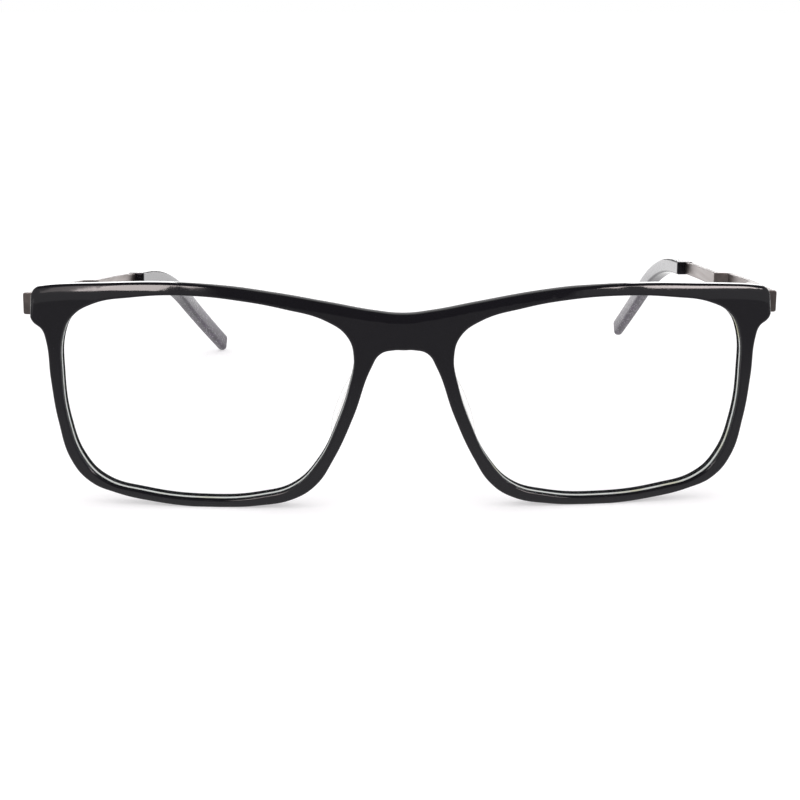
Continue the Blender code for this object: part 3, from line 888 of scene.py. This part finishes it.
def temple_tree():
    """Node tree that carries a straight piece along a temple's centreline and stores how far along it is."""
    tree = bpy.data.node_groups.new("bend_along_temple", "GeometryNodeTree")
    numbers = (
        "Slope",
        "Bow",
        "Bend start",
        "Bend radius",
        "Bend length",
        "Inward start",
        "Tip end",
        "Tip inward",
        "Side",
        "Turned in",
    )
    tree.interface.new_socket("Geometry", in_out="INPUT", socket_type="NodeSocketGeometry")
    for name in numbers:
        tree.interface.new_socket(name, in_out="INPUT", socket_type="NodeSocketFloat")
    tree.interface.new_socket("Pivot", in_out="INPUT", socket_type="NodeSocketVector")
    tree.interface.new_socket("Material", in_out="INPUT", socket_type="NodeSocketMaterial")
    tree.interface.new_socket("Geometry", in_out="OUTPUT", socket_type="NodeSocketGeometry")
    entry = tree.nodes.new("NodeGroupInput")
    given = {socket.name: Wire(tree, socket) for socket in entry.outputs if socket.name}
    wires = Wire(tree)

    spot = wires.add("GeometryNodeInputPosition")
    across, along, rise = (wires.add("ShaderNodeSeparateXYZ", None, {0: spot}, out=axis) for axis in "XYZ")
    bowed = wires.math("MINIMUM", along, given["Bend start"])
    angle = wires.math("ARCTANGENT", given["Slope"] + bowed * given["Bow"] * 2.0)
    past_bow = wires.math("MAXIMUM", along - given["Bend start"], 0.0)
    arc = wires.math("MINIMUM", past_bow, given["Bend length"])
    straight = wires.math("MAXIMUM", past_bow - given["Bend length"], 0.0)
    turned_to = angle + arc / given["Bend radius"]
    sine, cosine = wires.math("SINE", turned_to), wires.math("COSINE", turned_to)
    back = bowed + given["Bend radius"] * (sine - wires.math("SINE", angle)) + straight * cosine
    drop = bowed * given["Slope"] + bowed * bowed * given["Bow"]
    drop = drop + given["Bend radius"] * (wires.math("COSINE", angle) - cosine) + straight * sine
    share = wires.math("MAXIMUM", along - given["Inward start"], 0.0)
    share = share / (given["Tip end"] - given["Inward start"])
    out = given["Side"] * (across - given["Tip inward"] * share * share)
    places = {"X": out, "Y": back + rise * sine, "Z": rise * cosine - drop}
    placed = wires.add("ShaderNodeCombineXYZ", None, places)
    turned = wires.add(
        "ShaderNodeVectorRotate",
        {"rotation_type": "Z_AXIS"},
        {"Vector": placed, "Angle": given["Turned in"] * given["Side"]},
    )
    moved = wires.add("ShaderNodeVectorMath", {"operation": "ADD"}, {0: turned, 1: given["Pivot"]})
    marked = wires.add(
        "GeometryNodeStoreNamedAttribute",
        {"data_type": "FLOAT", "domain": "POINT"},
        {"Geometry": given["Geometry"], "Name": "along", "Value": along / given["Tip end"]},
    )
    bent = wires.add("GeometryNodeSetPosition", None, {"Geometry": marked, "Position": moved})
    solid = wires.add("GeometryNodeRealizeInstances", None, {"Geometry": bent})
    painted = wires.add("GeometryNodeSetMaterial", None, {"Geometry": solid, "Material": given["Material"]})
    leave = tree.nodes.new("NodeGroupOutput")
    tree.links.new(painted.socket, leave.inputs[0])
    return tree


def set_inputs(modifier, values):
    """Sets a node tree modifier's inputs, which are given by name."""
    for item in modifier.node_group.interface.items_tree:
        if item.in_out == "INPUT" and item.name in values:
            modifier[item.identifier] = values[item.name]


TEMPLE_TREE = temple_tree()


def along_temple(name, mesh, temple, material):
    """The plain mesh of a straight piece bent along a temple."""
    angle_at_bend = math.atan(temple.slope + 2 * ARM_BOW * BEND_START)
    piece = new_object(name, mesh)
    modifier = piece.modifiers.new("bend", "NODES")
    modifier.node_group = TEMPLE_TREE
    set_inputs(
        modifier,
        {
            "Slope": temple.slope,
            "Bow": ARM_BOW,
            "Bend start": BEND_START,
            "Bend radius": BEND_RADIUS,
            "Bend length": BEND_RADIUS * (TIP_ANGLE - angle_at_bend),
            "Inward start": TIP_START,
            "Tip end": TIP_END,
            "Tip inward": temple.tip_inward,
            "Side": float(temple.side),
            "Turned in": temple.turned_in,
            "Pivot": world(temple.side * PIVOT.x, PIVOT.y, PIVOT.z),
            "Material": material,
        },
    )
    bm = bmesh.new()
    bm.from_mesh(evaluated_mesh(piece))
    return finished_mesh(bm, name, [material])


def rounded_section(inner, outer, height, rounding):
    """Points (x, z) round a rectangle with rounded corners."""
    radius = min(rounding, FULLEST_ROUNDING * (outer - inner), FULLEST_ROUNDING * height)
    half = height / 2 - radius
    corners = (
        (inner + radius, -half, 180),
        (outer - radius, -half, 270),
        (outer - radius, half, 0),
        (inner + radius, half, 90),
    )
    points = []
    for x, z, start in corners:
        for step in range(CORNER_STEPS + 1):
            angle = math.radians(start + 90 * step / CORNER_STEPS)
            points.append((x + radius * math.cos(angle), z + radius * math.sin(angle)))
    return points


def straight_mesh(name, stations):
    """A straight solid through sections at the stations (distance, inner, outer, height, rounding)."""
    bm = bmesh.new()
    rings = []
    for at, *section in stations:
        rings.append([bm.verts.new((x, at, z)) for x, z in rounded_section(*section)])
    for ring, following in zip(rings, rings[1:]):
        for index in range(len(ring)):
            bm.faces.new((ring[index - 1], ring[index], following[index], following[index - 1]))
    bm.faces.new(rings[0])
    bm.faces.new(rings[-1])
    return plain_mesh(bm, name)


def steps_between(start, end):
    count = max(1, round((end - start) / PATH_STEP))
    return [start + (end - start) * index / count for index in range(count + 1)]


def rounded_end(stations, radius, taper=None):
    """The stations with the last section's edges rounded off."""
    taper = radius if taper is None else taper
    end, inner, outer, height, rounding = stations[-1]
    kept = [station for station in stations if station[0] < end - radius]
    for angle in quarter_turn(CORNER_STEPS):
        loss = 1 - math.cos(angle)
        at = end - radius + radius * math.sin(angle)
        left = height - 2 * radius * loss
        kept.append((at, inner + taper * loss, outer - taper * loss, left, rounding))
    return kept


def turned_round(stations):
    return [(-at, *sizes) for at, *sizes in reversed(stations)]


def rounded_start(stations, radius):
    return turned_round(rounded_end(turned_round(stations), radius))


def arm_height(distance):
    if distance < STEP_START:
        share = (distance - ARM_FRONT) / (STEP_START - ARM_FRONT)
        return between(ARM_HEIGHT_FRONT, ARM_HEIGHT_STEP, share)
    share = (distance - STEP_START) / (ARM_BLADE_END - STEP_START)
    return between(ARM_HEIGHT_STEP, ARM_HEIGHT_BACK, share)


def stepped(distance, start):
    """How far a face of the blade, whose step begins at start, has moved inwards. The step is a straight
    slope between two short bends, which are a share STEP_CORNER of it each."""
    share = min(max((distance - start) / STEP_LENGTH, 0.0), 1.0)
    from_end = min(share, 1 - share)
    if from_end < STEP_CORNER:
        risen = from_end * from_end / (2 * STEP_CORNER * (1 - STEP_CORNER))
    else:
        risen = (from_end - STEP_CORNER / 2) / (1 - STEP_CORNER)
    return STEP_INWARD * (risen if share < 0.5 else 1 - risen)


def arm_stations():
    """The arm's thick end, its blade, and the step in the blade, which keeps the sheet's thickness."""
    step_end = STEP_START + STEP_LAG + STEP_LENGTH
    distances = steps_between(ARM_FRONT, STEP_START)
    distances += [between(STEP_START, step_end, index / STEP_SECTIONS) for index in range(1, STEP_SECTIONS)]
    distances += steps_between(step_end, ARM_BLADE_END)
    stations = []
    for at in distances:
        thinned = smooth_step(ARM_END_BLOCK, ARM_BLADE_START, at)
        inner = between(ARM_INNER_AT_HINGE, ARM_INNER, thinned) - stepped(at, STEP_START)
        outer = ARM_OUTER - stepped(at, STEP_START + STEP_LAG)
        rounding = between(ARM_END_ROUNDING, ARM_ROUNDING, thinned)
        stations.append((at, inner, outer, arm_height(at), rounding))
    return stations


def tip_stations():
    stations = []
    for at in steps_between(TIP_START, TIP_END):
        share = (at - TIP_START) / (TIP_END - TIP_START)
        half = between(TIP_THICKNESS_START, TIP_THICKNESS_END, share) / 2
        height = between(TIP_HEIGHT_START, TIP_HEIGHT_END, share)
        rounding = between(TIP_ROUNDING_START, TIP_ROUNDING_END, share)
        stations.append((at, TIP_MIDDLE - half, TIP_MIDDLE + half, height, rounding))
    return stations


def add_temple(temple):
    arm = rounded_start(arm_stations(), ARM_ROUNDING)
    tip = rounded_start(tip_stations(), TIP_MOUTH_ROUNDING)
    tip = rounded_end(tip, TIP_CORNER_RADIUS, TIP_END_TAPER)
    for kind, stations, material, slot, node in (
        ("arm_brushed", arm, ARM_METAL, "arm_metal", "temple_arm"),
        ("tip_polished", tip, TIP_ACETATE, "black_acetate", "temple_tip"),
    ):
        name = f"{temple.label}_{kind}"
        mesh = along_temple(name, straight_mesh(name, stations), temple, material)
        new_piece(name, mesh, f"{temple.label}_temple", slot, f"{temple.label}_{node}")


def add_hinge_leaf(node, body):
    """A hinge leaf with its outer edges rounded."""
    bm = bmesh.new()
    bm.from_mesh(frame["nodes"][node].data)
    bmesh.ops.remove_doubles(bm, verts=bm.verts, dist=CAD_WELD)
    bmesh.ops.dissolve_limit(bm, angle_limit=CAD_FLAT_ANGLE, verts=bm.verts, edges=bm.edges)
    corners = [
        edge
        for edge in bm.edges
        if edge.is_manifold and edge.is_convex and edge.calc_face_angle() > HINGE_CORNER
    ]
    bmesh.ops.bevel(
        bm,
        geom=corners,
        offset=HINGE_BEVEL,
        segments=HINGE_BEVEL_STEPS,
        profile=0.5,
        affect="EDGES",
        clamp_overlap=True,
    )
    name = f"{node}_rounded"
    new_piece(name, finished_mesh(bm, name, [HINGE_METAL]), body, "hinge_metal", node)


def finish_hinge(label):
    """Rounds the hinge's leaves, and gives its screw and washers their finishes."""
    add_hinge_leaf(f"{label}_front_hinge", "front")
    add_hinge_leaf(f"{label}_temple_hinge", f"{label}_temple")
    for kind, material in (
        ("hinge_screw", HINGE_METAL),
        ("hinge_washer_upper", NYLON),
        ("hinge_washer_lower", NYLON),
    ):
        mesh = frame["nodes"][f"{label}_{kind}"].data
        mesh.materials.clear()
        mesh.materials.append(material)


# Floor, light and camera


def add_floor():
    """A floor that is white to the camera wherever the object's shadow doesn't reach."""
    bm = bmesh.new()
    bmesh.ops.create_grid(bm, x_segments=FLOOR_CELLS, y_segments=FLOOR_CELLS, size=FLOOR_HALF_SIZE)
    mesh = plain_mesh(bm, "floor")
    material, wires = new_material("floor_white")
    at = wires.add("ShaderNodeTexCoord", out="Object")
    depth = wires.add("ShaderNodeSeparateXYZ", None, {0: at}, out="Y")
    camera, glossy, through = ray_kinds(wires)
    lit = wires.add("ShaderNodeBsdfDiffuse", None, {"Color": FLOOR_LIT})
    shaded = wires.add("ShaderNodeBsdfDiffuse", None, {"Color": FLOOR_SEEN})
    glow = wires.add("ShaderNodeEmission", None, {"Color": FLOOR_GLOW, "Strength": 1.0})
    shown = wires.add("ShaderNodeAddShader", None, {0: shaded, 1: glow})
    # Painted light: in mirror images the floor is this glow in place of the lit floor, dim before the object
    # and above white behind it
    before, under, behind = (depth.ramp(*change) for change in FLOOR_PAINTED_MIRROR_LEVELS)
    image = wires.add("ShaderNodeEmission", None, {"Color": before + under + behind, "Strength": 1.0})
    seen = wires.math("MAXIMUM", camera, through)
    show(wires, blend(wires, seen, blend(wires, glossy, lit, image), shown))
    mesh.materials.append(material)
    floor = new_object("floor", mesh)


def add_world():
    """A white backdrop, mirrored at the back, in a room with pale sides that is dark behind the camera."""
    sky = bpy.data.worlds.new("studio")
    bpy.context.scene.world = sky
    sky.use_nodes = True
    sky.node_tree.nodes.clear()
    wires = Wire(sky.node_tree)
    aim = wires.add("ShaderNodeTexCoord", out="Generated")
    across, back, up = (wires.add("ShaderNodeSeparateXYZ", None, {0: aim}, out=axis) for axis in "XYZ")
    camera, glossy, through = ray_kinds(wires)
    rear = back.ramp(-0.1, 0.4) * up.ramp(0.35, 0.1)
    sides = wires.math("ABSOLUTE", across).ramp(0.24, 0.34) * up.ramp(0.8, 0.6)
    room = wires.math("MAXIMUM", rear * ROOM_REAR, sides * ROOM_SIDES).mix(grey(ROOM_DARK), grey(1.0))
    light = glossy.mix(grey(1.0), room)
    seen = wires.math("MAXIMUM", camera, through)
    shown = seen.mix(light, grey(1.0))
    background = wires.add("ShaderNodeBackground", None, {"Color": shown, "Strength": 1.0})
    wires.add("ShaderNodeOutputWorld", None, {"Surface": background})


class Softbox(NamedTuple):
    """An area light, in degrees, metres and watts. Its azimuth goes from the camera's side to the right."""

    name: str
    azimuth: float
    elevation: float
    distance: float
    width: float
    height: float
    power: float
    lights_matt: bool


SOFTBOXES = (
    Softbox("left_softbox", -30.7, 35.5, 0.9, 0.15, 0.31, 1.67, False),
    Softbox("left_fill", -40.0, 35.5, 0.9, 0.14, 0.31, 0.22, False),
    Softbox("right_softbox", 43.1, 39.0, 0.9, 0.28, 0.18, 2.35, False),
    Softbox("rear_left_softbox", 200.0, 11.0, 1.07, 0.43, 0.30, 1.34, True),
    Softbox("rear_right_softbox", 157.0, 11.0, 1.13, 0.42, 0.30, 1.34, True),
)
LIGHT_TARGET = Vector((0.0, -0.05, 0.02))
WARM = (1.0, 0.90, 0.88)


def add_softboxes():
    """Softboxes that face the target. Those that don't light matt surfaces are warm."""
    for box in SOFTBOXES:
        lamp = bpy.data.lights.new(box.name, "AREA")
        lamp.shape = "RECTANGLE"
        lamp.size = box.width
        lamp.size_y = box.height
        lamp.energy = box.power
        if not box.lights_matt:
            lamp.color = WARM
        turn, rise = math.radians(box.azimuth), math.radians(box.elevation)
        aim = Vector((math.sin(turn) * math.cos(rise), -math.cos(turn) * math.cos(rise), math.sin(rise)))
        holder = new_object(box.name, lamp)
        holder.location = LIGHT_TARGET + aim * box.distance
        holder.rotation_euler = aim.to_track_quat("Z", "Y").to_euler()
        holder.visible_diffuse = box.lights_matt


def add_camera():
    forward = Vector(
        (
            math.sin(CAMERA_YAW) * math.cos(CAMERA_PITCH),
            math.cos(CAMERA_YAW) * math.cos(CAMERA_PITCH),
            -math.sin(CAMERA_PITCH),
        )
    )
    right = Vector((math.cos(CAMERA_YAW), -math.sin(CAMERA_YAW), 0.0))
    up = right.cross(forward)
    rolled_right = math.cos(CAMERA_ROLL) * right + math.sin(CAMERA_ROLL) * up
    rolled_up = math.cos(CAMERA_ROLL) * up - math.sin(CAMERA_ROLL) * right
    matrix = Matrix((rolled_right, rolled_up, -forward)).transposed().to_4x4()
    matrix.translation = world(*CAMERA_PLACE)
    data = bpy.data.cameras.new("camera")
    data.sensor_width = CAMERA_SENSOR
    data.lens = CAMERA_LENS
    data.clip_start = CAMERA_CLIP_START
    camera = new_object("camera", data)
    camera.matrix_world = matrix
    bpy.context.scene.camera = camera


def main():
    bpy.context.scene.view_settings.view_transform = "Standard"
    add_camera()
    add_world()
    add_softboxes()
    add_floor()
    add_front()
    for temple in TEMPLES:
        add_lens(temple)
        add_nose_pad(temple)
        add_temple(temple)
        finish_hinge(temple.label)


main()
